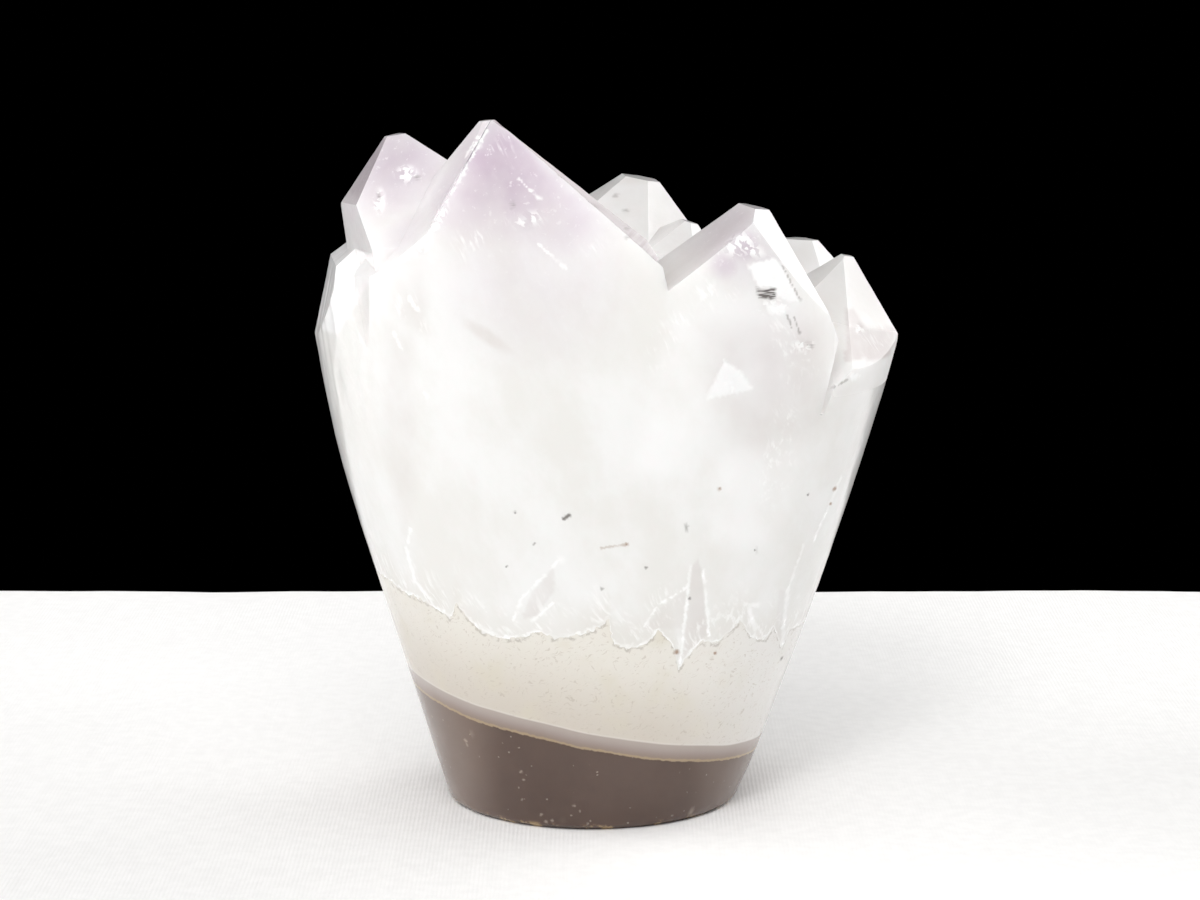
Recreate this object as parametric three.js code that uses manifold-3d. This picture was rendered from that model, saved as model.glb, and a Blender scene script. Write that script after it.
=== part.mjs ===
// Flower amethyst cluster: a crown of stout quartz points on a massive quartz root, ground to a
// smooth cup-shaped cone all round and cut off flat below, so that it stands on its own base.
// The crystals, the root and the banded agate under them grew together, so they are one solid.
// Millimetres, +Z up. The origin is the middle of the flat base; -Y is the front, +X the right.
import * as THREE from "three";
import { ConvexGeometry } from "three/addons/geometries/ConvexGeometry.js";
import { mergeVertices } from "three/addons/utils/BufferGeometryUtils.js";
import Module from "manifold-3d";

const wasm = await Module();
wasm.setup();

// The ground cone: how far it reaches from the axis, at each height, to the four sides.
const CONE_HEIGHTS = [0, 3, 10, 25, 42, 55, 70, 88];
const CONE_REACH = {
  right: [17.3, 18.8, 21.4, 26.7, 32.2, 35.8, 39.0, 42.0],
  left: [16.9, 17.9, 20.0, 24.6, 29.6, 32.0, 34.0, 35.0],
  front: [17.8, 18.9, 20.8, 24.4, 27.6, 29.2, 29.8, 29.8],
  back: [17.2, 18.4, 20.8, 25.2, 29.4, 32.0, 34.0, 36.0],
};
const CONE_RINGS = 24; // rings of facets from the base to the top
const CONE_SIDES = 96;
const CONE_SQUARENESS = [2, 2.6]; // at the base and at the top; 2 is an ellipse in each quarter
const BASE_CHAMFER = 0.5; // the worn edge round the flat base

// The massive quartz that the crystals rise from: a low mound, hidden under them.
const ROOT_HEIGHT = 51; // at the middle
const ROOT_SHOULDER = 47; // at the rim
const ROOT_RADIUS = 60; // wider than the cone, which trims it

// Quartz habit: a six-sided prism under a six-sided pyramid.
const SIDES = 6;
const PYRAMID_SLOPE = 49; // degrees between a pyramid face and the crystal's cross-section
const PRISM_TAPER = 2; // degrees that the prism sides lean in
const CRYSTAL_FOOT = 34; // height of the plane inside the root where every crystal ends

// Each crystal: its tip; how far it leans, and towards which compass angle (0 is right, 90 back);
// the angle of its first face; the half width between opposite sides; each prism side's distance
// from the axis, as a share of that; how far each pyramid face is pushed out from the tip; and
// how much of the tip is blunted. Angles in degrees.
const CRYSTALS = [
  // the tall point at the front, whose front half is ground away, and its twin just behind
  { tip: [-10.5, -28.9, 82.4], lean: 10, towards: 180, turn: 10, half: 16, slope: 51.8,
    sides: [0.9, 1, 0.9, 0.9, 1, 1.4], blunt: 0.3 },
  { tip: [-11.5, -19.2, 82.2], lean: 6, towards: 180, turn: 30, half: 15, slope: 48.3,
    sides: [0.9, 1, 0.9, 0.93, 1.1, 1.4], blunt: 0.8 },
  // the point at the left edge, and two lower ones beside it
  { tip: [-21.9, -13, 80.6], lean: 10, towards: 180, turn: 17, half: 8.3, slope: 49.5,
    sides: [1.15, 1, 0.84, 0.8, 1.25, 1.6], caps: [-0.3, 0.4, 0.2, 0.2, 0, 4], blunt: 1.2 },
  { tip: [-20, -9, 72.6], lean: 10, towards: 0, turn: 8, half: 7.6,
    sides: [1, 1, 1, 1, 1.5, 1.6], caps: [0, 0.5, 0, 0, 0.8, 0.6], blunt: 0.4 },
  { tip: [-22, 2, 67.5], lean: 6, towards: 0, turn: -4, half: 7 },
  // the steep point right of the middle, ground at the front below its tip
  { tip: [18.4, -23, 74.1], lean: 12, towards: 0, turn: 30, half: 11, slope: 51.8,
    sides: [1, 1, 1, 1.15, 1.15, 1.1], caps: [0, 0, 0, 0, 3, 0], blunt: 1.9 },
  // the small steep point at the right edge
  { tip: [29.8, -6.5, 65.6], lean: 14, towards: 0, turn: 17, half: 6.8, slope: 49,
    sides: [1.2, 1, 1, 1, 1.9, 1.5], caps: [0, 0.6, 0, 0.3, 0.9, 0], blunt: 0.6 },
  // the round-headed point behind the middle
  { tip: [6.1, 4.5, 74.9], lean: 10, towards: 0, turn: 9, half: 9.5, slope: 45.5,
    caps: [0.2, 0.6, 0.4, 0, 0, 0.4], blunt: 1.9 },
  // the thin wedge in front of it
  { tip: [11.4, -2.5, 69.2], lean: 18, towards: 0, turn: -40, half: 5.2, slope: 44,
    caps: [0.3, 0.4, 0, 0, 0, 0.3], blunt: 0.6 },
  // the flat-headed point behind the right edge
  { tip: [25, 10.5, 67.2], lean: 3, towards: 30, turn: 20, half: 7, slope: 49,
    caps: [0, 0.6, 0, 0.4, 0, 0.5], blunt: 2 },
  // the points at the back, out of sight from the front
  { tip: [-21.5, 11, 71], lean: 7, towards: 160, turn: 22, half: 7.6 },
  { tip: [-10, 21, 71.5], lean: 6, towards: 120, turn: -12, half: 10 },
  { tip: [8, 23.5, 67.5], lean: 9, towards: 75, turn: 2, half: 9 },
  { tip: [22, 21.5, 61.5], lean: 12, towards: 45, turn: 28, half: 6.2 },
  { tip: [-7, -1, 68], lean: 4, towards: 200, turn: 30, half: 8 },
];

// The small points that fill the valleys between the others: a ring of them at the rim of the
// cone, and the rest inside it in a golden-angle spiral.
const RIM_POINTS = 22;
const RIM_SHARE = 0.9; // of the cone's reach
const SPIRAL_POINTS = 36;
const SPIRAL_SHARE = 0.74;
const SMALL_TIPS = [54, 60]; // lowest and highest
const SMALL_HALF = [4.2, 5.6];
const SMALL_LEAN = 20; // degrees, outwards, at the rim
const SMALL_SEED = 11;

const toManifold = (geometry) => {
  const bare = geometry.clone();
  bare.deleteAttribute("normal");
  bare.deleteAttribute("uv");
  const merged = mergeVertices(bare, 1e-4);
  return new wasm.Manifold(
    new wasm.Mesh({
      numProp: 3,
      vertProperties: merged.attributes.position.array,
      triVerts: new Uint32Array(merged.index.array),
    }),
  );
};

// The outer skin of a solid, leaving out any pocket that is sealed inside it.
const withoutPockets = (solid) =>
  solid.decompose().reduce((largest, skin) => (skin.volume() > largest.volume() ? skin : largest));

const toGeometry = (solid) => {
  const mesh = solid.getMesh();
  const geometry = new THREE.BufferGeometry();
  geometry.setAttribute("position", new THREE.BufferAttribute(mesh.vertProperties, 3));
  geometry.setIndex(new THREE.BufferAttribute(mesh.triVerts, 1));
  geometry.computeVertexNormals();
  return geometry;
};

// The same run of numbers between 0 and 1 every time.
const seeded = (seed) => {
  let state = seed;
  return () => {
    state = (state * 1664525 + 1013904223) % 4294967296;
    return state / 4294967296;
  };
};

// The reach of the ground cone in the direction of an angle, at a height.
const reachCurves = Object.fromEntries(
  Object.entries(CONE_REACH).map(([side, reach]) => [
    side,
    new THREE.CubicInterpolant(Float32Array.from(CONE_HEIGHTS), Float32Array.from(reach), 1),
  ]),
);
const coneReach = (angle, height) => {
  const along = Math.cos(angle);
  const across = Math.sin(angle);
  const a = reachCurves[along > 0 ? "right" : "left"].evaluate(height)[0];
  const b = reachCurves[across > 0 ? "back" : "front"].evaluate(height)[0];
  const n = THREE.MathUtils.lerp(...CONE_SQUARENESS, height / CONE_HEIGHTS.at(-1));
  return ((Math.abs(along) / a) ** n + (Math.abs(across) / b) ** n) ** (-1 / n);
};

// A turned profile of unit radius, with each ring then pushed out to the cone's reach.
const groundCone = () => {
  const top = CONE_HEIGHTS.at(-1);
  const rings = Array.from({ length: CONE_RINGS + 1 }, (_, i) => {
    const share = i / CONE_RINGS;
    return new THREE.Vector2(1, BASE_CHAMFER + (top - BASE_CHAMFER) * share);
  });
  const profile = [
    new THREE.Vector2(0, 0),
    new THREE.Vector2(1, 0),
    ...rings,
    new THREE.Vector2(0, top),
  ];
  const cone = new THREE.LatheGeometry(profile, CONE_SIDES).rotateX(Math.PI / 2);
  const points = cone.attributes.position;
  const p = new THREE.Vector3();
  for (let i = 0; i < points.count; i++) {
    p.fromBufferAttribute(points, i);
    const share = Math.hypot(p.x, p.y);
    const angle = Math.atan2(p.y, p.x);
    const height = Math.max(0, p.z);
    const worn = height < BASE_CHAMFER / 2 ? BASE_CHAMFER : 0;
    const reach = share < 0.5 ? 0 : coneReach(angle, height) - worn;
    points.setXYZ(i, reach * Math.cos(angle), reach * Math.sin(angle), height);
  }
  return toManifold(cone);
};

const rootMound = () => {
  const mound = new THREE.LatheGeometry(
    [
      new THREE.Vector2(0, -1),
      new THREE.Vector2(ROOT_RADIUS, -1),
      new THREE.Vector2(ROOT_RADIUS, ROOT_SHOULDER),
      new THREE.Vector2(0, ROOT_HEIGHT),
    ],
    12,
  ).rotateX(Math.PI / 2);
  return toManifold(mound);
};

// The solid inside all of the planes, each a THREE.Plane that faces out.
const insideOf = (planes) => {
  const corners = [];
  const system = new THREE.Matrix3();
  for (let i = 0; i < planes.length; i++) {
    for (let j = i + 1; j < planes.length; j++) {
      for (let k = j + 1; k < planes.length; k++) {
        const [a, b, c] = [planes[i], planes[j], planes[k]];
        system.set(
          a.normal.x, a.normal.y, a.normal.z,
          b.normal.x, b.normal.y, b.normal.z,
          c.normal.x, c.normal.y, c.normal.z,
        );
        if (Math.abs(system.determinant()) < 1e-6) continue;
        const corner = new THREE.Vector3(-a.constant, -b.constant, -c.constant);
        corner.applyMatrix3(system.invert());
        if (planes.every((plane) => plane.distanceToPoint(corner) < 1e-5)) corners.push(corner);
      }
    }
  }
  return toManifold(new ConvexGeometry(corners));
};

const crystal = ({ tip, lean, towards, turn, half, slope = PYRAMID_SLOPE, sides, caps, blunt = 0.5 }) => {
  const point = new THREE.Vector3(...tip);
  const compass = THREE.MathUtils.degToRad(towards);
  const tilt = new THREE.Quaternion().setFromAxisAngle(
    new THREE.Vector3(-Math.sin(compass), Math.cos(compass), 0),
    THREE.MathUtils.degToRad(lean),
  );
  const incline = THREE.MathUtils.degToRad(slope);
  const steep = THREE.MathUtils.degToRad(90 - PRISM_TAPER);
  // A plane that faces along normal, and lies out from the tip by offset.
  const facing = (normal, offset) => {
    const n = normal.applyQuaternion(tilt);
    return new THREE.Plane(n, -n.dot(point) - offset);
  };
  const planes = [
    facing(new THREE.Vector3(0, 0, 1), -blunt),
    new THREE.Plane(new THREE.Vector3(0, 0, -1), CRYSTAL_FOOT),
  ];
  for (let i = 0; i < SIDES; i++) {
    const angle = THREE.MathUtils.degToRad(turn) + (i * 2 * Math.PI) / SIDES;
    const towardsUp = (tiltUp) =>
      new THREE.Vector3(
        Math.cos(angle) * Math.sin(tiltUp),
        Math.sin(angle) * Math.sin(tiltUp),
        Math.cos(tiltUp),
      );
    planes.push(facing(towardsUp(steep), half * (sides ? sides[i] : 1)));
    planes.push(facing(towardsUp(incline), caps ? caps[i] : 0));
  }
  return insideOf(planes);
};

const smallPoints = () => {
  const random = seeded(SMALL_SEED);
  const between = ([low, high]) => low + (high - low) * random();
  const small = (turns, share) => {
    const angle = Math.PI * (2 * (turns % 1) - 1);
    const height = between(SMALL_TIPS);
    const reach = share * coneReach(angle, height);
    return {
      tip: [reach * Math.cos(angle), reach * Math.sin(angle), height],
      lean: share * SMALL_LEAN,
      towards: THREE.MathUtils.radToDeg(angle),
      turn: 60 * random(),
      half: between(SMALL_HALF),
    };
  };
  const goldenTurn = (3 - Math.sqrt(5)) / 2;
  const rim = Array.from({ length: RIM_POINTS }, (_, i) => small(i / RIM_POINTS, RIM_SHARE));
  const spiral = Array.from({ length: SPIRAL_POINTS }, (_, i) =>
    small(i * goldenTurn, SPIRAL_SHARE * Math.sqrt((i + 0.5) / SPIRAL_POINTS)),
  );
  return [...rim, ...spiral];
};

const crown = [...CRYSTALS, ...smallPoints()].map(crystal).reduce((all, one) => all.add(one));
const stone = withoutPockets(crown.add(rootMound()).intersect(groundCone()));

const cluster = new THREE.Mesh(
  toGeometry(stone),
  new THREE.MeshStandardMaterial({ color: 0xf1ecee, roughness: 0.25, metalness: 0 }),
);
cluster.name = "amethyst_cluster";

const part = new THREE.Group();
part.add(cluster);

export default part;
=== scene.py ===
"""The looks of a flower amethyst cluster: its ground cone, its crystal crown, its banded foot and its set."""
import math

import bmesh
import bpy
import numpy as np
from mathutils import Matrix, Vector, noise
from mathutils.geometry import delaunay_2d_cdt


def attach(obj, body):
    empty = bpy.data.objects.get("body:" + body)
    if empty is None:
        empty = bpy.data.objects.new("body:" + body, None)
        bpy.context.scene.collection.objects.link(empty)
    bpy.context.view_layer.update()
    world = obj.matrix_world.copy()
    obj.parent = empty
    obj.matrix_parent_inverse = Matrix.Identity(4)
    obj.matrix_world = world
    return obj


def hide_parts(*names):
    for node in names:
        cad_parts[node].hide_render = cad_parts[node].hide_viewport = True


MM = 0.001                     # the mesh and its marks are worked out in millimetres
NODE = "amethyst_cluster"

# The mesh
STEP = 0.8                     # spacing of the surface's points
CROWN_STEP = 0.36              # the same on the front of the crown
ROOT_STEP = 0.4                # and where the roots of the crystals end
MARK_STEP = 0.2                # and near the thin marks of the front
MARK_MARGIN = 0.7              # how far round a mark that spacing goes
SPECK_MARGIN = 1.6             # the same for dark and rusty specks, which are lost in coarser polygons
CROWN_BOTTOM = 49              # the height above which the front counts as crown
ROOT_HEIGHTS = (18, 30)        # the heights between which the roots end
ROOT_SIDE = 2                  # they are cut finely in front of this y
FLAT_ANGLE = 0.3               # degrees below which neighbouring faces are one flat face
EDGE_ROUND = 0.1               # half width of the worn strip along each crystal edge
CREASE_ANGLE = 11              # degrees above which an edge is a crease
SHARP_ANGLE = 28               # degrees above which an edge is shaded sharp
GROUND_START = 20              # steep facets below this height are ground
GROUND_TURN = 9                # degrees that a facet may turn from its ground neighbour to be ground too
CELL_AREA = 9                  # the ground cone's facets are smaller than this
SMOOTHING_ROUNDS = 8
ROW_GAP = 0.87                 # between the rows of points on a polygon, in steps
RIM_GAP = 0.55                 # between those points and the polygon's rim, in steps
FRONT = 3                      # marks with only an x and a z lie in front of this y

# The relief, always cut inwards so that the part keeps its size
FACE_WAVE = 0.04
GROUND_WAVE = 0.02
CHIP_DEPTH = 0.07
FLANK_DEPTH = 0.1
FRACTURE_DEPTH = 0.22

# The layers of the foot: height where x is 0, and how far each falls for each millimetre to the right
FOOT_TOP, FOOT_FALL = 10.3, 0.2
BAND_TOP = 12.3
ROOTS, ROOTS_FALL = 24.0, 0.105

# Where the roots of the crystals end in the chalcedony, from left to right across the front: x and z
ROOT_ENDS = [(-23.5, 28.2), (-21.4, 27.3), (-19.0, 26.8), (-17.1, 26.1), (-15.7, 25.2), (-15.1, 27.4),
             (-13.9, 25.7), (-12.2, 24.2), (-10.1, 23.5), (-7.4, 23.9), (-6.0, 24.7), (-4.0, 23.9),
             (-1.3, 24.3), (0.8, 25.2), (2.2, 26.4), (2.4, 23.4), (4.1, 22.8), (5.8, 22.9), (7.7, 24.7),
             (9.3, 22.9), (9.9, 19.8), (11.0, 21.3), (12.5, 23.0), (14.3, 22.6), (15.8, 23.9),
             (17.0, 25.0), (17.9, 23.3), (18.5, 22.4), (20.1, 22.0), (21.0, 23.4), (22.1, 19.8),
             (23.0, 22.2), (24.9, 22.0)]

# Lavender and clear quartz: a place, how far it reaches from there, and how strong it is
LAVENDER = [((-9.5, -28, 81.5), 8, 1.15), ((-9, -29, 80), 16, 0.95), ((-3.5, -29, 75), 12, 0.55),
            ((-13, -26, 76), 10, 0.65), ((-6, -29, 66), 15, 0.22), ((-21.8, -15, 76.5), 11, 0.7),
            ((-20, -24, 70), 5, 0.3), ((14.6, -28, 66.6), 2.8, 0.6), ((16.6, -28, 68.6), 3, 0.8),
            ((17, -26, 70), 9, 0.38), ((20.5, -26, 57), 11, 0.1), ((-10, 21, 71.5), 10, 0.8),
            ((8, 23.5, 67.5), 9, 0.7), ((-21.5, 11, 71), 9, 0.7), ((22, 21.5, 61.5), 7, 0.6),
            ((-7, -1, 68), 8, 0.5)]
CLEAR = [((-10, -26, 82), 12, 0.4), ((-21.9, -13, 80.6), 12, 0.6), ((18.4, -22, 73), 14, 0.7),
         ((6.1, 4.5, 74.9), 20, 0.75), ((29.8, -6.5, 65.6), 18, 0.9), ((25, 10.5, 67.2), 18, 0.85),
         ((11.4, -2.5, 69.2), 16, 0.7), ((-10, 21, 71.5), 16, 0.8), ((8, 23.5, 67.5), 16, 0.8),
         ((-21.5, 11, 71), 16, 0.8), ((22, 21.5, 61.5), 14, 0.8), ((-7, -1, 68), 16, 0.8)]

# Crystal faces darkened with painted shade, as by a dark reflection: the range of x and of z their middles
# lie in, the side they face, how strong the shade is
PAINTED_SHADE_FACES = [((-10, 2), (68, 82), 1, 0.8), ((-27.5, -22), (73, 80), -1, 0.4),
              ((6, 19), (63, 74), -1, 0.2)]

# Patches on the front: x, z, half width, half height, and how far each is turned in degrees
SHATTERED = [(17.4, 68.0, 2.4, 1.0, -20), (20.0, 61.6, 2.2, 1.1, 0), (16.4, 68.6, 2.6, 1.5, 30),
             (-20.4, 75.3, 1.6, 1.2, 0), (-23.4, 72.4, 0.8, 1.8, 0), (-16.4, 71.2, 0.7, 2.6, -30),
             (-18.2, 68.2, 0.8, 1.6, -48), (-20.3, 66.8, 0.4, 1.6, -68), (23.4, 57.0, 1.8, 1.0, 0),
             (30.6, 57.4, 1.0, 0.7, 0), (-6.6, 71.4, 2.2, 1.2, 20)]
VEILS = [(8.6, 58.4, 2.4, 5.2, -30), (-7.6, 71.4, 4.2, 1.8, 10), (0.4, 68.6, 2.2, 1.6, 0),
         (-12.5, 68.6, 3.2, 2.6, 0), (22.6, 54.6, 3.4, 3.6, 0), (21.5, 58.0, 3.8, 2.4, -30),
         (13.6, 63.4, 3.2, 2.6, 0), (32.2, 56.0, 2.6, 1.9, 0), (-19.8, 60.2, 2.6, 4.2, 20),
         (8.2, 28.6, 2.6, 2.6, 40), (18.6, 25.2, 1.8, 2.6, 0), (-20.2, 31.2, 1.4, 4.6, 8),
         (20.8, 44, 3.2, 9, -8), (-9.4, 78.2, 2, 3, 0)]
SMOKY = [(-19.2, 75.0, 0.5, 0.4, 0), (-23.5, 72.9, 0.25, 0.8, 10), (-8.3, 73.0, 0.6, 0.3, 40),
         (24.2, 57.0, 0.8, 0.4, -20), (2.9, 71.2, 0.6, 0.3, 20), (4.1, 69.6, 0.6, 0.3, 0)]
TAN = [(-11.2, 58.6, 3.8, 1.0, -33), (4.3, 73.4, 5.5, 1.3, 0)]

# Patches with straight sides: how soft their sides are, how strong they are, and their corners, clockwise
BREAKS = [(0.2, 0.75, [(14.6, 55.9), (16.5, 54.7), (18.1, 52.3), (12.5, 51.4)]),
          (0.2, 1, [(28.7, 53.3), (30.7, 52.7), (29.3, 52.0)]),
          (0.2, 0.85, [(17.0, 66.4), (20.2, 67.1), (21.3, 65.5), (23.0, 62.1), (21.9, 61.9), (18.2, 63.9)]),
          (0.2, 1, [(19.2, 62.0), (21.6, 61.8), (21.3, 60.6), (19.6, 60.7)])]
PALE_AND_PAINTED_LIGHT = [(3, 0.5, [(-0.7, 42.1), (5.2, 54.8), (7.5, 66.6), (12.9, 60.7), (14.5, 51.4), (12.0, 41.6)]),
        (1.5, 0.15, [(-28.0, 43.6), (-30.5, 58.6), (-24.2, 59.3), (-23.4, 46.3), (-25.3, 38.9)]),
        # The third patch is painted light: it brightens the lower wall of the left crystal, which faces away
        # from the lamps.
        (0.5, 1.2, [(-32.5, 57), (-29, 73), (-26, 73), (-22.8, 66), (-28.2, 57)]),
        (3, 0.5, [(11.6, 34.0), (13.2, 48.0), (25.0, 47.0), (23.0, 31.0)])]
DIM = [(5, 0.75, [(12.5, 44.0), (9.5, 61.5), (27.5, 62.0), (28.5, 46.0), (20.1, 41.0)]),
       (2.5, 0.25, [(25.6, 39.0), (26.0, 55.1), (34.9, 55.4), (34.1, 43.6), (29.8, 37.9)]),
       (2, 0.5, [(-24.2, 45.7), (-23.6, 60.6), (-18.3, 60.4), (-18.7, 38.2), (-21.2, 29.5)]),
       (2, 0.6, [(-21.9, 57.7), (-23.2, 67.3), (-16.5, 69.0), (-17.1, 57.9)]),
       (0.2, 2.4, [(28.4, 54.2), (28.4, 55.5), (30.4, 55.7), (30.8, 54.4)]),
       (0.5, 2.2, [(28.6, 54.2), (28.6, 60.0), (30.0, 59.8), (31.6, 57.4), (31.6, 54.2)]),
       (0.7, 2.4, [(30.8, 53.8), (30.8, 57.8), (35.4, 57.4), (34.6, 53.6)]),
       (0.3, 0.8, [(-7.9, 25.9), (-6.7, 29.3), (-3.9, 32.9), (-3.7, 29.7), (-6.0, 26.4)]),
       (0.3, 0.9, [(10.2, 21.0), (11.2, 32.3), (12.0, 33.3), (12.6, 31.8), (13.3, 23.7)]),
       (0.3, 0.6, [(5.8, 24.9), (7.5, 27.4), (10.9, 29.8), (10.6, 24.7)]),
       (0.3, 0.6, [(21.0, 23.0), (21.3, 28.5), (22.3, 27.7), (22.0, 20.5)])]
# A barred patch of painted dark reflection on the front of the crown, drawn in the smoky quartz's colour.
BARRED_REFLECTION = [(0.15, 1, [(17.9, 63.9), (20.5, 63.7), (20.3, 62.3), (18.3, 62.5)])]

# Lines on the front: where each starts and ends, and its half width
BRIGHT_LINES = [((-11.1, 81.0), (-15.5, 73.2), 0.14), ((-12.4, 79.8), (-13.7, 77.6), 0.12),
                ((-7.7, 75.9), (-5.4, 73.6), 0.1), ((-5.7, 68.9), (-2.4, 66.0), 0.11),
                ((-19.9, 62.5), (-18.8, 61.2), 0.16), ((-21.7, 58.5), (-20.7, 56.6), 0.18),
                ((-18.3, 52.0), (-17.9, 51.3), 0.15), ((-21.5, 66.2), (-19.0, 67.4), 0.15),
                ((-20.2, 35.5), (-20.8, 33.1), 0.16), ((-20.8, 33.1), (-19.9, 29.1), 0.24),
                ((-19.9, 29.1), (-18.1, 27.2), 0.2), ((24.3, 33.1), (22.5, 27.7), 0.16),
                ((22.5, 27.7), (22.1, 20.5), 0.22), ((-3.4, 33.3), (-7.7, 28.5), 0.14),
                ((-7.7, 28.5), (-8.6, 25.9), 0.16), ((-4.0, 28.3), (-6.3, 26.0), 0.14),
                ((5.8, 24.9), (7.5, 27.8), 0.12), ((7.5, 27.8), (10.9, 29.8), 0.12),
                ((11.2, 32.3), (10.1, 20.2), 0.15), ((12.6, 31.8), (13.4, 23.7), 0.14),
                ((17.4, 27.0), (19.3, 26.5), 0.25), ((17.9, 26.5), (18.8, 23.5), 0.28),
                ((14.6, 55.9), (15.6, 52.2), 0.12), ((28.6, 40.4), (25.4, 33.0), 0.16)]
DARK_LINES = [((20.9, 66.2), (23.0, 62.2), 0.07), ((21.6, 60.6), (22.2, 58.9), 0.08),
              ((22.4, 60.3), (23.0, 58.6), 0.08), ((28.8, 52.5), (26.7, 51.5), 0.09)]
TAN_LINES = [((1.3, 34.7), (4.1, 35.1), 0.14)]

# Specks on the front: x, z and radius
DARK_SPECKS = [(-2.3, 38.5, 0.22), (-2.6, 38.3, 0.24), (-2.9, 38.1, 0.22), (-8.3, 38.7, 0.14),
               (10.7, 37.0, 0.18), (6.2, 32.3, 0.14), (11.1, 28.4, 0.14), (18.5, 33.5, 0.13),
               (24.5, 39.3, 0.15), (-6.2, 35.1, 0.13), (-9.3, 32.3, 0.12), (1.4, 29.9, 0.14),
               (22.2, 18.5, 0.2)]
PALE_SPECKS = [(-15.4, 12.0, 0.1), (-14.4, 9.8, 0.16), (-14.2, 9.3, 0.12), (-13.8, 10.8, 0.1),
               (-7.9, 7.1, 0.1), (-7.6, 6.1, 0.14), (-8.2, 5.0, 0.1), (-7.4, 4.3, 0.12),
               (-7.9, 3.5, 0.1), (-5.7, 1.8, 0.12), (-5.1, 0.9, 0.2), (-4.4, 1.1, 0.16),
               (-3.3, 0.9, 0.16), (-1.8, 3.2, 0.14), (-1.2, 2.5, 0.1), (-0.3, 0.9, 0.14),
               (8.0, 0.9, 0.14), (9.4, 1.1, 0.14), (11.5, 1.0, 0.14)]
RUSTY_SPECKS = [(14.3, 41.2, 0.2), (9.7, 22.0, 0.3), (14.1, 21.4, 0.2), (27.8, 39.2, 0.28), (27.4, 37.4, 0.2),
                (4.0, 35.1, 0.2)]
SPECK_LENGTH = 0.02            # a speck is handled as a line as short as this


def srgb(red, green, blue):
    """A colour given as it looks on a screen, 0 to 255, as the linear numbers that the shader needs."""
    def linear(part):
        part /= 255
        return part / 12.92 if part <= 0.04045 else ((part + 0.055) / 1.055) ** 2.4
    return (linear(red), linear(green), linear(blue), 1)


def smooth(low, high, value):
    """0 at low, 1 at high, and an even bend between them."""
    t = np.clip((value - low) / (high - low), 0, 1)
    return t * t * (3 - 2 * t)


# Mesh

def short_lines(specks):
    """The specks as very short lines, with their radii as half widths."""
    return [((x, z), (x + SPECK_LENGTH, z), radius) for x, z, radius in specks]


SPECKS = short_lines([*DARK_SPECKS, *RUSTY_SPECKS])
THIN_MARKS = [*BRIGHT_LINES, *DARK_LINES, *TAN_LINES, *short_lines(PALE_SPECKS)]


def flat_faced(node):
    """The CAD solid in millimetres: each flat face one polygon, a worn strip along each crystal edge."""
    bm = bmesh.new()
    bm.from_mesh(node.data)
    bmesh.ops.scale(bm, vec=(1 / MM,) * 3, verts=bm.verts)
    bmesh.ops.remove_doubles(bm, verts=bm.verts, dist=0.002)
    bmesh.ops.dissolve_limit(bm, angle_limit=math.radians(FLAT_ANGLE), verts=bm.verts, edges=bm.edges)
    worn = bm.faces.layers.int.new("worn")
    creases = [e for e in bm.edges if e.calc_face_angle(0) > math.radians(CREASE_ANGLE)]
    strips = bmesh.ops.bevel(bm, geom=creases, offset=EDGE_ROUND, offset_type="OFFSET", segments=1,
                             profile=0.5, affect="EDGES", clamp_overlap=True)
    for face in strips["faces"]:
        face[worn] = 1
    bmesh.ops.dissolve_degenerate(bm, dist=0.01, edges=bm.edges)
    bm.normal_update()
    return bm


def inside(points, ring):
    """Which of the points lie inside the closed ring, both in the plane."""
    found = np.zeros(len(points), bool)
    x, y = points[:, 0], points[:, 1]
    for (x0, y0), (x1, y1) in zip(ring, np.roll(ring, -1, axis=0)):
        crosses = (y0 > y) != (y1 > y)
        found ^= crosses & (x < (x1 - x0) * (y - y0) / (y1 - y0 + 1e-12) + x0)
    return found


def from_line(x, z, start, end):
    """How far points on the front are from a line, seen straight on."""
    run = np.array(end) - np.array(start)
    dx, dz = x - start[0], z - start[1]
    share = np.clip((dx * run[0] + dz * run[1]) / (run @ run), 0, 1)
    return np.hypot(dx - share * run[0], dz - share * run[1])


def spacing(place):
    """How far apart the surface's points are at a place: closer where the front has its finest marks."""
    if place.y < FRONT:
        for marks, margin in ((THIN_MARKS, MARK_MARGIN), (SPECKS, SPECK_MARGIN)):
            if min(from_line(place.x, place.z, start, end) for start, end, _ in marks) < margin:
                return MARK_STEP
        if place.z > CROWN_BOTTOM:
            return CROWN_STEP
    if place.y < ROOT_SIDE and ROOT_HEIGHTS[0] < place.z < ROOT_HEIGHTS[1]:
        return ROOT_STEP
    return STEP


def even_points(ring, step):
    """Points on a triangular grid inside the ring and clear of its edge."""
    low, high = ring.min(axis=0), ring.max(axis=0)
    if min(high - low) < step:
        return np.zeros((0, 2))
    rows = np.arange(low[1], high[1], step * ROW_GAP)
    places = np.arange(low[0], high[0], step)
    grid = [(x + (i % 2) * step / 2, y) for i, y in enumerate(rows) for x in places]
    grid = np.array(grid)
    grid = grid[inside(grid, ring)]
    if not len(grid):
        return np.zeros((0, 2))
    gap = np.linalg.norm(grid[:, None] - ring[None], axis=2).min(axis=1)
    return grid[gap > step * RIM_GAP]


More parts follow.
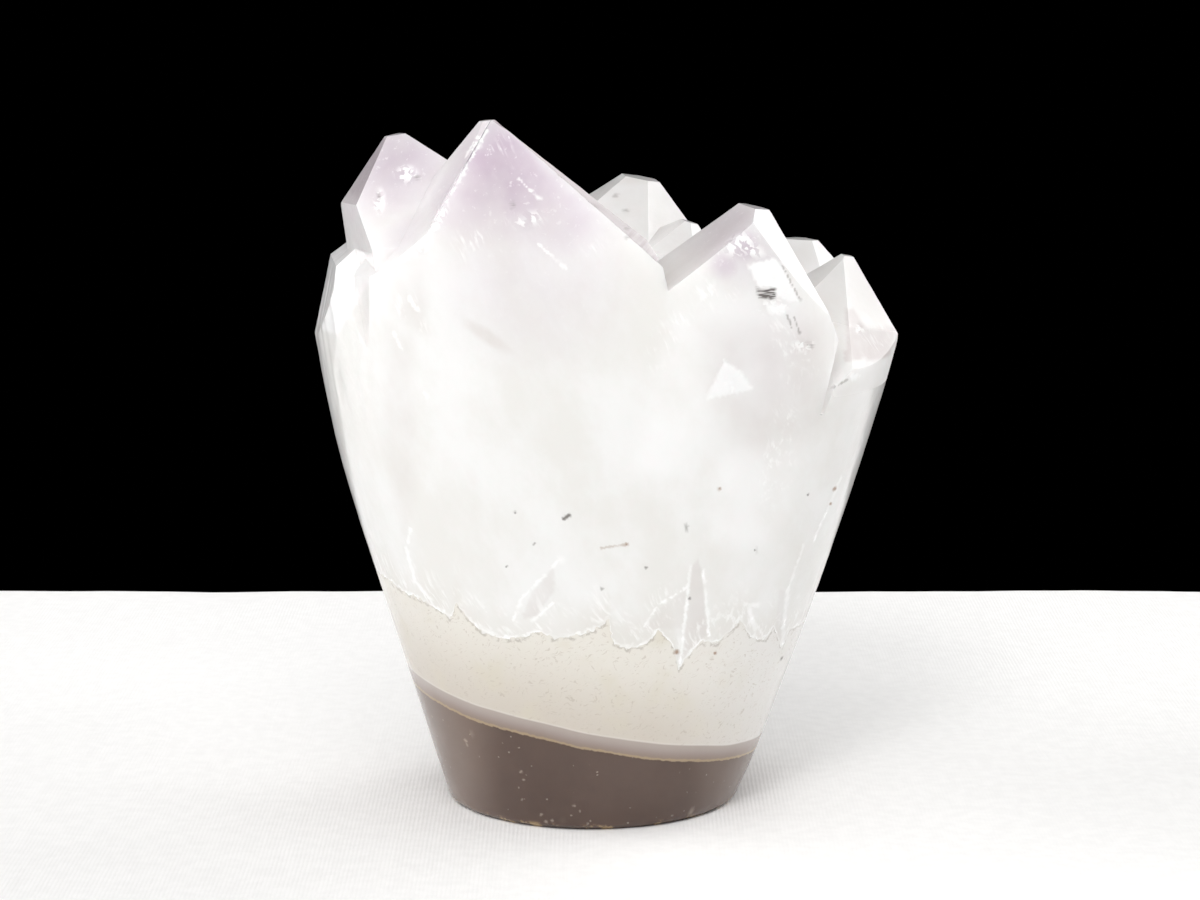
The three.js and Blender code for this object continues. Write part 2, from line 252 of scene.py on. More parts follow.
def evenly_cut(bm):
    """Every edge and flat face cut up evenly: the points, the triangles and the polygon each comes from."""
    points = [v.co.copy() for v in bm.verts]
    between = {}
    for edge in bm.edges:
        a, b = edge.verts
        parts = max(1, round(edge.calc_length() / spacing((a.co + b.co) / 2)))
        new = list(range(len(points), len(points) + parts - 1))
        points += [a.co.lerp(b.co, k / parts) for k in range(1, parts)]
        between[a.index, b.index] = new
        between[b.index, a.index] = new[::-1]
    triangles, owners = [], []
    for face in bm.faces:
        ring = []
        for loop in face.loops:
            a, b = loop.vert.index, loop.link_loop_next.vert.index
            ring += [a, *between[a, b]]
        side = face.normal.orthogonal().normalized()
        up = face.normal.cross(side)
        start = face.verts[0].co
        flat = np.array([((points[i] - start).dot(side), (points[i] - start).dot(up)) for i in ring])
        extra = even_points(flat, spacing(face.calc_center_median()))
        both = [Vector(p) for p in (*flat.tolist(), *extra.tolist())]
        out, _, faces, origin, _, _ = delaunay_2d_cdt(both, [], [list(range(len(ring)))], 1, 1e-5)
        number = []
        for place, came_from in zip(out, origin):
            if came_from and came_from[0] < len(ring):
                number.append(ring[came_from[0]])
            else:
                number.append(len(points))
                points.append(start + side * place.x + up * place.y)
        triangles += [[number[i] for i in f] for f in faces]
        owners += [face.index] * len(faces)
    return np.array(points), np.array(triangles), np.array(owners)


def ground_faces(bm):
    """Which polygons belong to the ground cone: the small facets that follow smoothly from the foot up."""
    bm.faces.ensure_lookup_table()
    steep = (f for f in bm.faces if abs(f.normal.z) < 0.6)
    ground = {f.index for f in steep if f.calc_center_median().z < GROUND_START}
    front = list(ground)
    while front:
        face = bm.faces[front.pop()]
        for edge in face.edges:
            for other in edge.link_faces:
                small = other.calc_area() < CELL_AREA
                level = edge.calc_face_angle(math.pi) < math.radians(GROUND_TURN)
                if small and level and other.index not in ground:
                    ground.add(other.index)
                    front.append(other.index)
    return np.array([f.index in ground for f in bm.faces])


def painted_shade_faces(bm, ground):
    """How much painted shade each polygon gets."""
    out = np.zeros(len(bm.faces))
    for (left, right), (low, high), side, painted_shade in PAINTED_SHADE_FACES:
        for face in bm.faces:
            x, y, z = face.calc_center_median()
            here = left < x < right and low < z < high and y < FRONT
            if here and face.normal.x * side > 0.2 and not ground[face.index]:
                out[face.index] = painted_shade
    return out


def point_normals(points, triangles):
    """The outward direction at each point."""
    a, b, c = (points[triangles[:, i]] for i in range(3))
    normals = np.cross(b - a, c - a)
    out = np.zeros_like(points)
    for i in range(3):
        np.add.at(out, triangles[:, i], normals)
    return out / np.maximum(np.linalg.norm(out, axis=1, keepdims=True), 1e-9)


def pairs(triangles):
    """Each edge of the triangles once, as two rows of point numbers."""
    both = np.vstack([triangles[:, [0, 1]], triangles[:, [1, 2]], triangles[:, [2, 0]]])
    return np.unique(np.sort(both, axis=1), axis=0)


def averaged(values, edges):
    """Each point's value replaced by the mean of its neighbours'."""
    total = np.zeros_like(values)
    count = np.zeros(len(values))
    for a, b in ((0, 1), (1, 0)):
        np.add.at(total, edges[:, a], values[edges[:, b]])
        np.add.at(count, edges[:, a], 1)
    return total / np.maximum(count, 1).reshape((-1,) + (1,) * (values.ndim - 1))


# Values on the surface

def field(points, scale, octaves=3, stretch=(1, 1, 1), seed=0.0):
    """A smooth random value at each point, about -1 to 1, that changes over scale millimetres."""
    shift = Vector((seed * 17.3, seed * -9.1, seed * 5.7))
    scaled = points / (np.array(stretch) * scale)
    return np.array([noise.fractal(Vector(p) + shift, 0.9, 2.0, octaves) for p in scaled])


def near_places(points, places):
    """How strongly each point is reached by the nearest place."""
    out = np.zeros(len(points))
    for place, reach, strength in places:
        away = np.linalg.norm(points - np.array(place), axis=1)
        out = np.maximum(out, strength * (1 - smooth(0.2 * reach, reach, away)))
    return out


def in_patches(points, patches):
    """1 in the middle of each round patch on the front, 0 at its rim and outside."""
    out = np.zeros(len(points))
    for x, z, wide, high, turn in patches:
        c, s = math.cos(math.radians(turn)), math.sin(math.radians(turn))
        dx, dz = points[:, 0] - x, points[:, 2] - z
        share = np.hypot((dx * c + dz * s) / wide, (dz * c - dx * s) / high)
        out = np.maximum(out, smooth(1.0, 0.35, share))
    return out * (points[:, 1] < FRONT)


def on_lines(points, lines, rough=0.0):
    """1 on the lines of the front, 0 beside them; rough lines are broken up and uneven."""
    x, y, z = points.T
    uneven = rough * field(points, 0.7, 3, seed=7)
    out = np.zeros(len(points))
    for start, end, wide in lines:
        away = from_line(x, z, start, end) + uneven
        out = np.maximum(out, smooth(1.3 * wide, 0.5 * wide, away))
    return out * (y < FRONT)


def on_specks(points, specks, rough=0.0):
    """1 on the specks of the front, 0 beside them."""
    return on_lines(points, short_lines(specks), rough)


def in_corners(points, patches):
    """How strongly each point is covered by the straight-sided patches on the front."""
    out = np.zeros(len(points))
    for soft, strength, corners in patches:
        depth = np.full(len(points), 9.0)
        for (x0, z0), (x1, z1) in zip(corners, corners[1:] + corners[:1]):
            length = math.hypot(x1 - x0, z1 - z0)
            side = ((points[:, 0] - x0) * (z1 - z0) - (points[:, 2] - z0) * (x1 - x0)) / length
            depth = np.minimum(depth, side)
        out = np.maximum(out, strength * smooth(0, soft, depth))
    return out * (points[:, 1] < FRONT)


def above_roots(points):
    """How far each point lies above the ends of the crystals' roots; the unseen back mirrors the front."""
    x, y, z = points.T
    ends = np.array(ROOT_ENDS)
    uneven = ends[:, 1] - (ROOTS - ROOTS_FALL * ends[:, 0])
    front, back = (np.interp(side * x, ends[:, 0], uneven) for side in (1, -1))
    return z - (ROOTS - ROOTS_FALL * x) - front - smooth(-6, 6, y) * (back - front)


def left_flank(points):
    """1 on the broken left flank below the left crystal, 0 elsewhere."""
    across = smooth(-22, -26, points[:, 0])
    height = smooth(42, 52, points[:, 2]) * (1 - smooth(60, 66, points[:, 2]))
    return across * height * smooth(0, -8, points[:, 1])


def frosted(points):
    """1 on the lower part of the right-hand crystal, whose faces are rubbed, 0 elsewhere."""
    x, y, z = points.T
    below = smooth(58.8, 57.8, z + 0.25 * (x - 28))
    return below * smooth(26.5, 27.5, x) * smooth(2, 0, y) * smooth(50, 51, z)


def relief(points, crease, ground):
    """How deep the surface is cut below the CAD solid: growth waves, worn edges and breaks."""
    waves = (1 - ground) * FACE_WAVE * (0.5 + 0.5 * field(points, 3.0, 3, (1, 1, 0.35), 1))
    waves += ground * GROUND_WAVE * (0.5 + 0.5 * field(points, 7.0, 2, (1, 1, 1), 2))
    worn = crease * CHIP_DEPTH * smooth(0.25, 0.6, field(points, 2.2, 3, (1, 1, 1), 3))
    ridges = 1 - np.abs(field(points, 3.5, 2, (1, 1, 6), 4))
    flank = left_flank(points) * FLANK_DEPTH * (1 - smooth(0.5, 1.0, ridges))
    flakes = np.round(2.5 * field(points, 0.9, 2, (1, 1, 0.6), 5)) / 2.5
    breaks = np.maximum(in_patches(points, SHATTERED), in_corners(points, BREAKS))
    return np.maximum(waves + worn + flank + breaks * FRACTURE_DEPTH * (0.5 + 0.5 * flakes), 0)


def attribute(mesh, name, values, of="POINT"):
    """Stores one number for each point or face of the mesh."""
    mesh.attributes.new(name, "FLOAT", of).data.foreach_set("value", np.asarray(values, np.float32))


def shaped(node):
    """The points and triangles of the stone with its relief, and which triangles are ground, which are worn
    and which get painted shade.
    """
    bm = flat_faced(node)
    points, triangles, owners = evenly_cut(bm)
    ground_polygons = ground_faces(bm)
    painted_shade = painted_shade_faces(bm, ground_polygons)[owners]
    worn = bm.faces.layers.int["worn"]
    strips = np.array([f[worn] for f in bm.faces])[owners]
    bm.free()
    on_ground = ground_polygons[owners]
    edges = pairs(triangles)
    ground, crease = np.ones(len(points)), np.zeros(len(points))
    for i in range(3):
        np.minimum.at(ground, triangles[:, i], on_ground.astype(float))
        np.maximum.at(crease, triangles[:, i], on_ground.astype(float))
    crease = crease * (1 - ground)
    for _ in range(SMOOTHING_ROUNDS):
        points = np.where(ground[:, None] > 0, averaged(points, edges), points)
    points = points - point_normals(points, triangles) * relief(points, crease, ground)[:, None]
    return points, triangles, on_ground, strips, painted_shade


def add_marks(mesh, points):
    """Stores how strongly each point has each mark, for the material to read."""
    uneven = field(points, 4, 3, seed=6)
    lines = on_lines(points, BRIGHT_LINES, 0.2) * (0.7 + 0.5 * field(points, 1.6, 2, seed=8))
    shattered = np.maximum(in_patches(points, SHATTERED), 0.12 * left_flank(points))
    # Smoky marks, and a barred patch of painted dark reflection.
    smoky_and_reflection = np.maximum(0.45 * in_patches(points, SMOKY), in_corners(points, BARRED_REFLECTION))
    dark = np.maximum(0.6 * on_lines(points, DARK_LINES, 0.1), on_specks(points, DARK_SPECKS))
    tan = np.maximum(0.5 * on_lines(points, TAN_LINES, 0.12), 0.15 * in_patches(points, TAN))
    attribute(mesh, "lavender", near_places(points, LAVENDER) * (0.95 + 0.15 * uneven))
    attribute(mesh, "clear", near_places(points, CLEAR))
    attribute(mesh, "above_roots", above_roots(points))
    attribute(mesh, "white", np.maximum(lines, in_corners(points, BREAKS)))
    attribute(mesh, "pale", in_corners(points, PALE_AND_PAINTED_LIGHT) * (0.85 + 0.5 * uneven))
    attribute(mesh, "dim", in_corners(points, DIM) * (0.85 + 0.5 * uneven))
    attribute(mesh, "shattered", shattered)
    attribute(mesh, "veil", in_patches(points, VEILS))
    attribute(mesh, "smoky_and_reflection", smoky_and_reflection)
    attribute(mesh, "dark", dark)
    attribute(mesh, "chips", on_specks(points, PALE_SPECKS, 0.1))
    attribute(mesh, "rusty", np.maximum(tan, on_specks(points, RUSTY_SPECKS)))
    attribute(mesh, "frosted", frosted(points))


def crystal_cluster(node):
    """The whole stone, cut up evenly, with its relief and the values that its material reads."""
    points, triangles, on_ground, worn, painted_shade = shaped(node)
    mesh = bpy.data.meshes.new("amethyst")
    mesh.from_pydata((points * MM).tolist(), [], triangles.tolist())
    mesh.update()
    add_marks(mesh, points)
    attribute(mesh, "natural", 1 - on_ground, "FACE")
    attribute(mesh, "worn", worn, "FACE")
    attribute(mesh, "painted_shade", painted_shade, "FACE")
    mesh.set_sharp_from_angle(angle=math.radians(SHARP_ANGLE))
    piece = bpy.data.objects.new("amethyst", mesh)
    bpy.context.collection.objects.link(piece)
    return piece


# Materials

MILKY, MILKIER = srgb(233, 232, 229), srgb(240, 240, 239)
MILKY_AT_ROOTS = srgb(224, 221, 215)
# The first colour also serves as painted light on the left crystal's lower wall.
PALE_QUARTZ_AND_PAINTED_LIGHT, DIM_QUARTZ = srgb(250, 249, 249), srgb(214, 208, 206)
# The second colour is painted shade, for the crystal faces darkened as by a dark reflection.
NATURAL_FACE, PAINTED_SHADE_QUARTZ = srgb(222, 214, 214), srgb(150, 138, 140)
AMETHYST = srgb(198, 180, 197)
AMETHYST_INSIDE = srgb(214, 190, 212)
# The second colour is for smoky marks and for a painted dark reflection.
BROKEN_QUARTZ, SMOKY_QUARTZ_AND_DARK_REFLECTION = srgb(255, 255, 254), srgb(110, 104, 102)
DARK_SPECK, RUSTY_SPECK = srgb(80, 70, 62), srgb(140, 100, 56)
CHALCEDONY, UPPER_CHALCEDONY = srgb(212, 205, 195), srgb(232, 229, 222)
YELLOWISH_CHALCEDONY, RIGHT_CHALCEDONY = srgb(217, 211, 194), srgb(236, 235, 234)
SCRATCH, ROOT_OUTLINE = srgb(188, 178, 166), srgb(150, 140, 128)
LOWER_BAND, UPPER_BAND, BAND_EDGE = srgb(150, 134, 124), srgb(182, 171, 165), srgb(230, 226, 222)
SEAM = srgb(182, 160, 128)
# The third colour is painted reflection, for the foot's left and right edges.
BROWN, LIGHT_BROWN, BROWN_WITH_PAINTED_REFLECTION = srgb(82, 63, 54), srgb(104, 84, 74), srgb(160, 142, 130)
CHIP, AMBER = srgb(190, 175, 160), srgb(205, 172, 122)
COTTON, LIGHT_COTTON = srgb(237, 236, 235), srgb(241, 240, 239)
QUARTZ_IOR = 1.544


class Nodes:
    """A material's node tree, with one short method for each kind of node that it uses."""

    def __init__(self, name):
        self.material = bpy.data.materials.new(name)
        self.material.use_nodes = True
        self.tree = self.material.node_tree
        self.tree.nodes.clear()

    def put(self, kind, settings=(), **inputs):
        node = self.tree.nodes.new("ShaderNode" + kind)
        for name, value in dict(settings).items():
            setattr(node, name, value)
        for name, value in inputs.items():
            self.give(node.inputs[name.replace("_", " ")], value)
        return node

    def give(self, socket, value):
        if isinstance(value, bpy.types.NodeSocket):
            self.tree.links.new(value, socket)
        else:
            socket.default_value = value

    def math(self, operation, first, second=0.0):
        node = self.put("Math", {"operation": operation})
        self.give(node.inputs[0], first)
        self.give(node.inputs[1], second)
        return node.outputs[0]

    def largest(self, *values):
        out = values[0]
        for value in values[1:]:
            out = self.math("MAXIMUM", out, value)
        return out

    def vector(self, operation, first, second=None, scale=None):
        node = self.put("VectorMath", {"operation": operation})
        self.give(node.inputs[0], first)
        if second is not None:
            self.give(node.inputs[1], second)
        if scale is not None:
            self.give(node.inputs["Scale"], scale)
        return node.outputs["Vector"]

    def ramp(self, value, low, high, start=0.0, end=1.0):
        node = self.put("MapRange", {"interpolation_type": "SMOOTHSTEP"}, Value=value,
                        From_Min=low, From_Max=high, To_Min=start, To_Max=end)
        return node.outputs[0]

    def blend(self, share, first, second):
        node = self.put("Mix", {"data_type": "RGBA"})
        self.give(node.inputs[0], share)
        self.give(node.inputs[6], first)
        self.give(node.inputs[7], second)
        return node.outputs[2]

    def millimetres(self):
        return self.vector("SCALE", self.put("TexCoord").outputs["Object"], scale=1 / MM)

    def stretched(self, place, scale, turn=(0, 0, 0)):
        turned = self.put("Mapping", Vector=place, Rotation=[math.radians(a) for a in turn]).outputs[0]
        return self.put("Mapping", Vector=turned, Scale=scale).outputs[0]

    def noise(self, place, scale, detail=3.0, roughness=0.5):
        return self.put("TexNoise", Vector=place, Scale=scale, Detail=detail, Roughness=roughness).outputs[0]

    def cells(self, place, scale=1.0):
        return self.put("TexVoronoi", Vector=place, Scale=scale)

    def value(self, name):
        return self.put("Attribute", {"attribute_name": name}).outputs["Fac"]


def shaken(g, place, scale, by):
    """The place moved about at random by up to half of by."""
    shove = g.put("TexNoise", Vector=place, Scale=scale, Detail=3.0).outputs["Color"]
    return g.vector("ADD", place, g.vector("SCALE", g.vector("SUBTRACT", shove, (0.5, 0.5, 0.5)), scale=by))


def whiteness(g, place, above):
    """Where broken, worn and veiled quartz shines white: on the crown and along the ends of the roots."""
    flaky = g.cells(g.stretched(shaken(g, place, 0.7, 1.2), (2.3, 2.3, 1.1), (0, 38, 0)))
    flakes = g.math("MULTIPLY", g.value("shattered"), g.ramp(flaky.outputs["Color"], 0.46, 0.58, 0.0, 0.75))
    bent = shaken(g, place, 0.1, 4.0)
    feather = g.noise(g.stretched(bent, (2.4, 2.4, 0.4), (0, 30, 0)), 1.0, 4)
    gaps = g.ramp(g.noise(place, 0.45, 2), 0.4, 0.62)
    feathery = g.math("MULTIPLY", gaps, g.ramp(feather, 0.46, 0.7, 0.0, 0.65))
    veils = g.math("MULTIPLY", g.value("veil"), feathery)
    dots = g.ramp(g.noise(place, 1.7, 3, 0.65), 0.6, 0.7, 0.0, 0.5)
    flecks = g.math("MULTIPLY", g.value("lavender"), dots)
    patchy = g.ramp(g.noise(place, 0.6, 2), 0.35, 0.65, 0.2, 1.0)
    rim = g.math("MULTIPLY", g.ramp(above, 0.55, 0.1), g.ramp(above, -0.12, 0.08))
    worn = g.math("MULTIPLY", g.largest(g.value("worn"), rim), patchy)
    near = g.math("MULTIPLY", g.ramp(above, 7.0, 0.5), gaps)
    wisps = g.math("MULTIPLY", near, g.ramp(feather, 0.46, 0.66, 0.0, 0.7))
    return g.largest(flakes, veils, flecks, worn, wisps, g.value("white"))


def crystal_colour(g, place, x, above):
    """Milky quartz, lavender towards the tips and greyer near the ends of its roots, with painted light on
    the lower wall of the left crystal and painted shade, striped by grooves, on the faces listed.
    """
    cloud = g.ramp(g.noise(g.stretched(place, (1, 1, 0.6), (0, 20, 0)), 0.1, 6, 0.62), 0.35, 0.65)
    milky = g.blend(cloud, MILKY, MILKIER)
    milky = g.blend(g.ramp(above, 5.0, 0.0, 0.0, 0.45), milky, MILKY_AT_ROOTS)
    # Pale patches; the one on the left crystal's lower wall is painted light.
    milky = g.blend(g.math("MULTIPLY", g.value("pale"), 0.8), milky, PALE_QUARTZ_AND_PAINTED_LIGHT)
    milky = g.blend(g.math("MULTIPLY", g.value("dim"), 0.5), milky, DIM_QUARTZ)
    colour = g.blend(g.math("MULTIPLY", g.value("natural"), 0.2), milky, NATURAL_FACE)
    tint = g.math("MULTIPLY", g.value("lavender"), g.ramp(g.noise(place, 0.3, 3), 0.3, 0.7, 0.68, 0.9))
    colour = g.blend(tint, colour, AMETHYST)
    # Painted shade on the faces listed, striped by fine grooves on the faces to the right.
    grooves = g.noise(g.stretched(place, (0.2, 0.15, 1.8), (0, 36, 0)), 1.0, 2)
    grooved = g.math("MULTIPLY", g.ramp(x, 3, 5, 0.0, 0.7), g.math("SUBTRACT", grooves, 0.5))
    striped = g.math("MULTIPLY", g.value("painted_shade"), g.math("ADD", 1.0, grooved))
    return g.blend(striped, colour, PAINTED_SHADE_QUARTZ)


def chalcedony_colour(g, place, layer, x):
    """Grey chalcedony, paler upwards and to the right, with yellowish clouds and short fine scratches."""
    grey = g.blend(g.ramp(layer, 12, 24), CHALCEDONY, UPPER_CHALCEDONY)
    grey = g.blend(g.ramp(g.noise(place, 0.22, 3), 0.5, 0.75, 0, 0.5), grey, YELLOWISH_CHALCEDONY)
    grey = g.blend(g.ramp(x, 6, 22, 0, 0.7), grey, RIGHT_CHALCEDONY)
    short = g.noise(g.stretched(shaken(g, place, 0.5, 3.0), (1, 1, 3.0), (0, 25, 0)), 1.6, 3)
    return g.blend(g.ramp(short, 0.58, 0.7, 0, 0.45), grey, SCRATCH)


def foot_colour(g, place, x, z):
    """Brown agate, lightened towards its left and right edges by painted reflection, with tiny pale chips,
    and amber flecks round its lowest rim.
    """
    brown = g.blend(g.noise(place, 0.12, 3), BROWN, LIGHT_BROWN)
    # Painted reflection: the brown is lightened towards the left and right edges of the foot, where its gloss
    # would mirror the bright cloth.
    painted_reflection = g.largest(g.ramp(x, -9.5, -15.5, 0, 0.4), g.ramp(x, 10.5, 15.5, 0, 0.22))
    brown = g.blend(painted_reflection, brown, BROWN_WITH_PAINTED_REFLECTION)
    chip = g.cells(shaken(g, place, 2.0, 0.4), scale=1.1)
    middle = g.ramp(chip.outputs["Distance"], 0.16, 0.08)
    few = g.math("MULTIPLY", middle, g.ramp(chip.outputs["Color"], 0.62, 0.7))
    chips = g.largest(g.math("MULTIPLY", few, 0.5), g.math("MULTIPLY", g.value("chips"), 0.6))
    brown = g.blend(chips, brown, CHIP)
    low = g.math("MULTIPLY", g.ramp(z, 1.0, 0.2), g.ramp(g.noise(place, 0.45, 5, 0.65), 0.5, 0.6, 0, 0.8))
    return g.blend(low, brown, AMBER)


def stone_colour(g, place, fine, above, white, smoky_and_reflection):
    """The colours of the layers, from the crystals through chalcedony and band to the foot."""
    x, _, z = g.put("SeparateXYZ", Vector=place).outputs
    layer = g.math("ADD", z, g.math("MULTIPLY", x, FOOT_FALL))
    layer = g.math("ADD", layer, g.math("MULTIPLY", g.math("SUBTRACT", g.noise(place, 0.1, 1), 0.5), 0.8))
    ragged = g.math("ADD", layer, g.math("MULTIPLY", fine, 0.4))
    crystal = crystal_colour(g, place, x, above)
    colour = g.blend(g.math("MULTIPLY", white, 0.95), crystal, BROKEN_QUARTZ)
    colour = g.blend(smoky_and_reflection, colour, SMOKY_QUARTZ_AND_DARK_REFLECTION)
    outline = g.math("MULTIPLY", g.ramp(above, -0.5, -0.1), g.ramp(fine, -0.1, 0.1, 0, 0.45))
    grey = g.blend(outline, chalcedony_colour(g, place, layer, x), ROOT_OUTLINE)
    colour = g.blend(g.ramp(above, -0.1, 0.1), grey, colour)
    colour = g.blend(g.math("MULTIPLY", g.value("dark"), 0.8), colour, DARK_SPECK)
    colour = g.blend(g.math("MULTIPLY", g.value("rusty"), 0.75), colour, RUSTY_SPECK)

    purple = g.blend(g.ramp(layer, FOOT_TOP, BAND_TOP), LOWER_BAND, UPPER_BAND)
    colour = g.blend(g.ramp(layer, BAND_TOP + 0.12, BAND_TOP - 0.12), colour, purple)
    edge = g.math("ABSOLUTE", g.math("SUBTRACT", layer, BAND_TOP + 0.1))
    colour = g.blend(g.ramp(edge, 0.16, 0.05, 0, 0.3), colour, BAND_EDGE)
    colour = g.blend(g.ramp(ragged, FOOT_TOP + 0.08, FOOT_TOP - 0.08), colour, foot_colour(g, place, x, z))
    seam = g.math("ABSOLUTE", g.math("SUBTRACT", ragged, FOOT_TOP + 0.1))
    return g.blend(g.ramp(seam, 0.22, 0.08, 0, 0.75), colour, SEAM)


def quartz_material():
    """Milky quartz that clears to lavender at its tips, over grey chalcedony and a brown agate foot."""
    g = Nodes("quartz")
    place = g.millimetres()
    fine = g.math("SUBTRACT", g.noise(place, 1.6, 3), 0.5)
    above = g.math("ADD", g.value("above_roots"), g.math("MULTIPLY", fine, 1.4))
    white = whiteness(g, place, above)
    # Smoky marks and a painted dark reflection, broken into bars.
    bars = g.noise(g.stretched(place, (0.6, 0.6, 5.0)), 1.0, 1)
    smoky_and_reflection = g.math("MULTIPLY", g.value("smoky_and_reflection"), g.ramp(bars, 0.4, 0.55, 0.25, 1.0))
    colour = stone_colour(g, place, fine, above, white, smoky_and_reflection)
    opaque = g.largest(white, smoky_and_reflection)
    clear = g.math("MULTIPLY", g.value("clear"), g.math("MULTIPLY", g.math("SUBTRACT", 1.0, opaque), 0.3))
    rough = g.largest(0.16, g.math("MULTIPLY", g.value("frosted"), 0.45), g.math("MULTIPLY", white, 0.3))
    bump = g.put("Bump", Height=g.noise(place, 0.5, 4, 0.55), Strength=0.1, Distance=0.4 * MM).outputs[0]
    shader = g.put("BsdfPrincipled", Base_Color=colour, Roughness=rough, IOR=QUARTZ_IOR,
                   Transmission_Weight=clear, Subsurface_Weight=1.0,
                   Subsurface_Radius=(1.0, 0.93, 0.95), Subsurface_Scale=6 * MM, Normal=bump)
    absorb = g.put("VolumeAbsorption", Color=AMETHYST_INSIDE, Density=14.0)
    out = g.put("OutputMaterial", Surface=shader.outputs[0])
    g.give(out.inputs["Volume"], absorb.outputs[0])
    return g.material


def cloth_material():
    """White cotton, with the fine ribs of its weave."""
    g = Nodes("cloth")
    place = g.millimetres()
    ribs = g.put("TexWave", {"bands_direction": "X"}, Vector=place, Scale=0.65, Distortion=1.5, Detail=2.0,
                 Detail_Scale=2.0).outputs["Fac"]
    cross = g.put("TexWave", {"bands_direction": "Y"}, Vector=place, Scale=1.0, Distortion=2.0, Detail=2.0,
                  Detail_Scale=2.0).outputs["Fac"]
    weave = g.math("ADD", ribs, g.math("MULTIPLY", cross, 0.5))
    bump = g.put("Bump", Height=weave, Strength=0.2, Distance=0.1 * MM).outputs[0]
    colour = g.blend(g.ramp(g.noise(place, 0.6, 4), 0.3, 0.7), COTTON, LIGHT_COTTON)
    shader = g.put("BsdfPrincipled", Base_Color=colour, Roughness=0.95, Specular_IOR_Level=0.1,
                   Sheen_Weight=0.1, Normal=bump)
    g.put("OutputMaterial", Surface=shader.outputs[0])
    return g.material


# The set, in metres

TABLE_EDGE = 0.1166            # how far behind the part the table ends
TABLE_HALF_WIDTH = 0.9
TABLE_FRONT = -0.9
FINE_CLOTH, COARSE_CLOTH = 0.19, 0.2    # how far round the part the cloth is cut finely
CLOTH_BEND = 0.004             # radius of its bend over the table's edge
CLOTH_DROP = 0.5
CLOTH_WAVE = 0.0004            # depth of its waves
CLOTH_RAGGED = 0.0009          # how unevenly its back edge runs
FLAT_CLOTH = (0.02, 0.05)      # it is flat within the first distance and waves in full from the second


def cloth_floor():
    """A table under a white cloth, which hangs down at the table's back edge."""
    depths = [*np.linspace(TABLE_FRONT, -COARSE_CLOTH, 30), *np.linspace(-FINE_CLOTH, TABLE_EDGE, 110)]
    turns = np.linspace(0.2, math.pi / 2, 8)
    bend = [(TABLE_EDGE + CLOTH_BEND * math.sin(a), -CLOTH_BEND * (1 - math.cos(a))) for a in turns]
    drop = [(TABLE_EDGE + CLOTH_BEND, -d) for d in np.linspace(0.01, CLOTH_DROP, 20)]
    run = [(y, 0.0) for y in depths] + bend + drop
    widths = [*np.linspace(-TABLE_HALF_WIDTH, -COARSE_CLOTH, 20), *np.linspace(-FINE_CLOTH, FINE_CLOTH, 120),
              *np.linspace(COARSE_CLOTH, TABLE_HALF_WIDTH, 20)]
    flat, waved = FLAT_CLOTH
    verts = []
    for y, z in run:
        for x in widths:
            wave = noise.fractal(Vector((x * 30, y * 30, 1.7)), 1.0, 2.0, 3) - 1.0
            away = min(1.0, max(0.0, (math.hypot(x, y) - flat) / (waved - flat)))
            edge = noise.noise(Vector((x * 25, 3.1, 0))) * CLOTH_RAGGED if y > 0.1 else 0
            verts.append((x, y + edge, z + min(0, CLOTH_WAVE * wave * away)))
    wide = len(widths)
    faces = [(r * wide + c, r * wide + c + 1, (r + 1) * wide + c + 1, (r + 1) * wide + c)
             for r in range(len(run) - 1) for c in range(wide - 1)]
    mesh = bpy.data.meshes.new("cloth_floor")
    mesh.from_pydata(verts, [], faces)
    mesh.shade_smooth()
    mesh.materials.append(cloth_material())
    floor = bpy.data.objects.new("cloth_floor", mesh)
    bpy.context.collection.objects.link(floor)


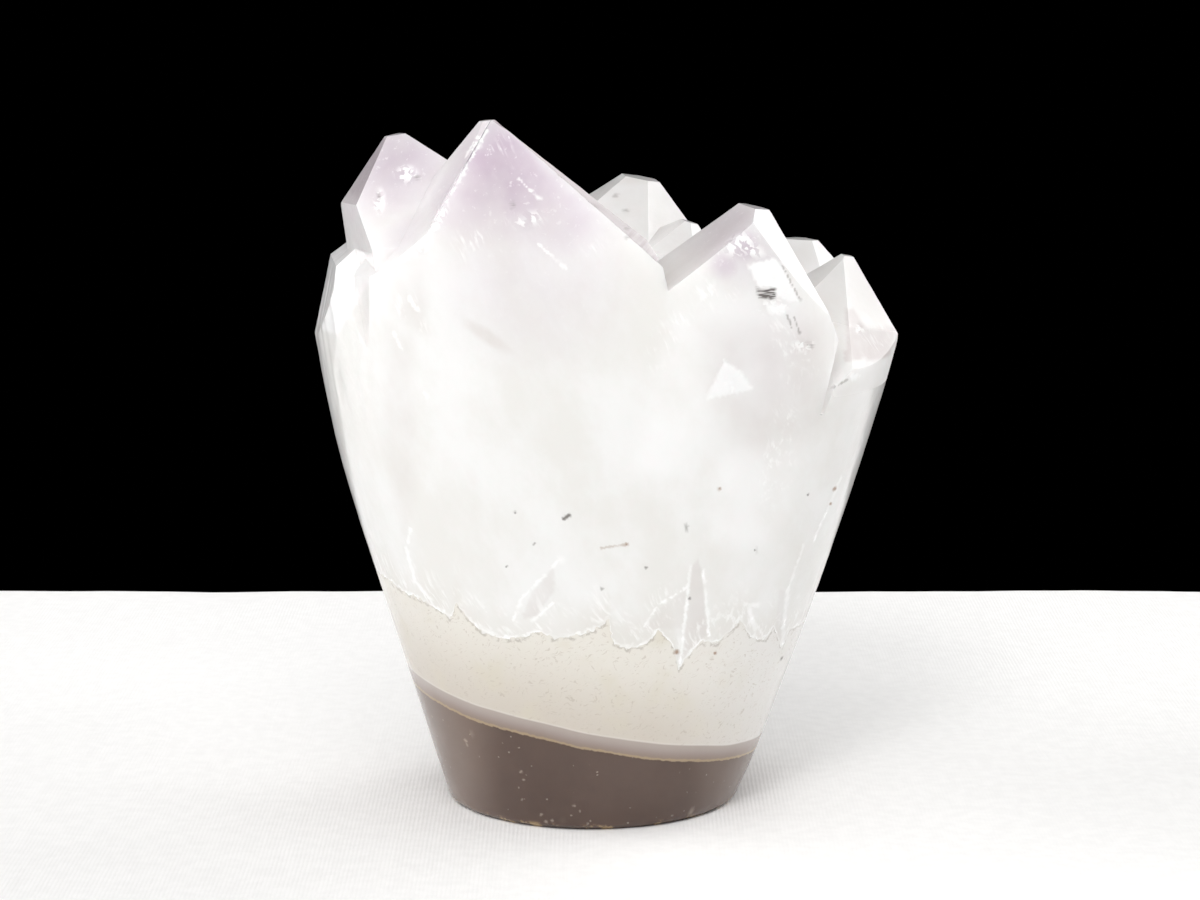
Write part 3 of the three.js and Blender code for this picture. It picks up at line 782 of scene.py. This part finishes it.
def softbox(name, compass, height, away, wide, watts):
    """A square light that faces the part: compass is in degrees to the right of the camera."""
    light = bpy.data.lights.new(name, "AREA")
    light.size = wide
    light.energy = watts
    lamp = bpy.data.objects.new(name, light)
    turn, rise = math.radians(compass), math.radians(height)
    out = Vector((math.sin(turn) * math.cos(rise), -math.cos(turn) * math.cos(rise), math.sin(rise)))
    lamp.location = out * away + Vector((0, 0, 0.04))
    lamp.rotation_euler = out.to_track_quat("Z", "Y").to_euler()
    bpy.context.collection.objects.link(lamp)


def lights():
    """A small key, broad soft boxes all round, and two at the back corners that light the rims."""
    softbox("key", -14, 38, 1.6, 0.35, 6.5)
    softbox("front", -6, 45, 1.6, 1.3, 15)
    softbox("left", -80, 35, 1.5, 1.0, 7.2)
    softbox("left_back", -106, 16, 1.3, 0.5, 3.2)
    softbox("right", 80, 35, 1.5, 1.0, 5.2)
    softbox("right_back", 125, 26, 1.2, 0.75, 6.2)
    softbox("back", 180, 55, 1.5, 1.0, 3.8)
    softbox("ceiling", 0, 88, 1.7, 2.2, 3.2)
    world = bpy.data.worlds.new("dark_room")
    world.use_nodes = True
    world.node_tree.nodes["Background"].inputs[0].default_value = (0, 0, 0, 1)
    bpy.context.scene.world = world


CAMERA_AT = (0.0011, -0.3957, 0.1075)
CAMERA_DOWN = 9.5              # degrees below level
VIEW_ANGLE = 20                # degrees across the picture


def camera():
    """The photograph's camera."""
    data = bpy.data.cameras.new("camera")
    data.angle = math.radians(VIEW_ANGLE)
    data.clip_start = 0.01
    item = bpy.data.objects.new("camera", data)
    item.location = CAMERA_AT
    item.rotation_euler = (math.radians(90 - CAMERA_DOWN), 0, 0)
    bpy.context.collection.objects.link(item)
    bpy.context.scene.camera = item


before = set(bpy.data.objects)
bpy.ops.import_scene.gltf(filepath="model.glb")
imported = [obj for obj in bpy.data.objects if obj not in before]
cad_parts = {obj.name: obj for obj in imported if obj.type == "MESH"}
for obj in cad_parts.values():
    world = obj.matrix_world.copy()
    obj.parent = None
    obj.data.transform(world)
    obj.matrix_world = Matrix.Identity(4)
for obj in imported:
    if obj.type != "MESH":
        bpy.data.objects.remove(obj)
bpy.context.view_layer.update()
camera()
lights()
cloth_floor()
stone = crystal_cluster(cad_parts[NODE])
stone.data.materials.append(quartz_material())
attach(stone, "root")
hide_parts(NODE)
bpy.context.scene.view_settings.view_transform = "Standard"
